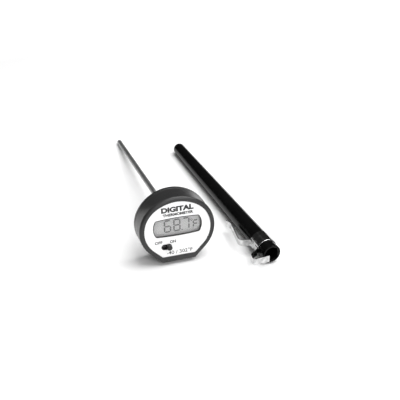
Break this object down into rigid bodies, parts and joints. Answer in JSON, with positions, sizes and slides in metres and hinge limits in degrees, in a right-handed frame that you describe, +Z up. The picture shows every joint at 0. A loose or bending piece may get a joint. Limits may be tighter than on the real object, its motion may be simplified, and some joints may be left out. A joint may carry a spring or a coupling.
{
  "type": "digital darkroom thermometer",
  "caption": "Digital stem thermometer with an oval dial-style head, slide switch and battery door, lying beside its tapered sheath with a spring pocket clip.",
  "frame": {"origin": "middle of the footprint of the thermometer and its sheath, on the surface they lie on", "axes": "+Z up, +Y from the face of the head towards the tip of the stem, +X to the right of a person reading the face"},
  "size_m": [0.0722, 0.1738, 0.0381],
  "materials": {
    "black_housing_plastic": "fine satin moulded texture",
    "printed_white_label": "satin printed sheet with black lettering",
    "black_rubber": "moulded seal",
    "plated_screw_steel": "zinc plated",
    "clear_window": "clear polished acrylic",
    "display_glass": "grey display glass",
    "grey_polariser_film": "matt film",
    "reflector_foil": "matt foil",
    "contact_rubber": "striped contact rubber",
    "inner_white_plastic": "moulded",
    "green_circuit_board": "solder mask over laminate",
    "black_epoxy": "glossy resin",
    "component_ceramic": "ceramic chip",
    "black_switch_plastic": "satin moulded",
    "gold_contact_spring": "gold flashed spring strip",
    "battery_steel": "satin nickel plated can",
    "nickel_contact_strip": "nickel plated strip",
    "turned_brass_nickel": "turned and nickel plated",
    "stainless_stem": "drawn stainless tube",
    "lead_insulation": "thin insulation",
    "potting_resin": "filled resin",
    "gloss_black_sheath": "polished moulded",
    "chrome_clip": "bright chrome plated spring strip"
  },
  "bodies": {
    "thermometer": {"front_housing": "black_housing_plastic", "back_cover": "black_housing_plastic", "face_label": "printed_white_label", "housing_gasket": "black_rubber", "housing_screws": "plated_screw_steel", "lens_window": "clear_window", "lcd_glass": "display_glass", "lcd_polariser": "grey_polariser_film", "lcd_reflector": "reflector_foil", "zebra_connectors": "contact_rubber", "lcd_frame": "inner_white_plastic", "circuit_board": "green_circuit_board", "chip_blob": "black_epoxy", "chip_components": "component_ceramic", "button_cell": "battery_steel", "battery_contact_negative": "nickel_contact_strip", "battery_contact_positive": "nickel_contact_strip", "battery_door_seal": "black_rubber", "stem_ferrule": "turned_brass_nickel", "stem_tube": "stainless_stem", "thermistor_bead": "black_epoxy", "thermistor_leads": "lead_insulation", "tip_potting": "potting_resin"},
    "power_switch": {"switch_slider": "black_switch_plastic", "switch_wiper": "gold_contact_spring"},
    "battery_door": {"battery_door": "black_housing_plastic"},
    "sheath": {"sheath_tube": "gloss_black_sheath", "pocket_clip": "chrome_clip"}
  },
  "joints": [
    {"name": "power_switch_slide", "type": "slide", "parent": "thermometer", "child": "power_switch", "axis": [1, 0, 0], "range_m": [-0.0025, 0]},
    {"name": "battery_door_turn", "type": "hinge", "parent": "thermometer", "child": "battery_door", "pos_m": [-0.01565, -0.05327, 0.00899], "axis": [0, 0.9912, -0.1323], "range_deg": [0, 45]},
    {"name": "sheath_lift", "type": "slide", "parent": "thermometer", "child": "sheath", "axis": [0, 0, 1], "range_m": [0, 0.1]}
  ]
}
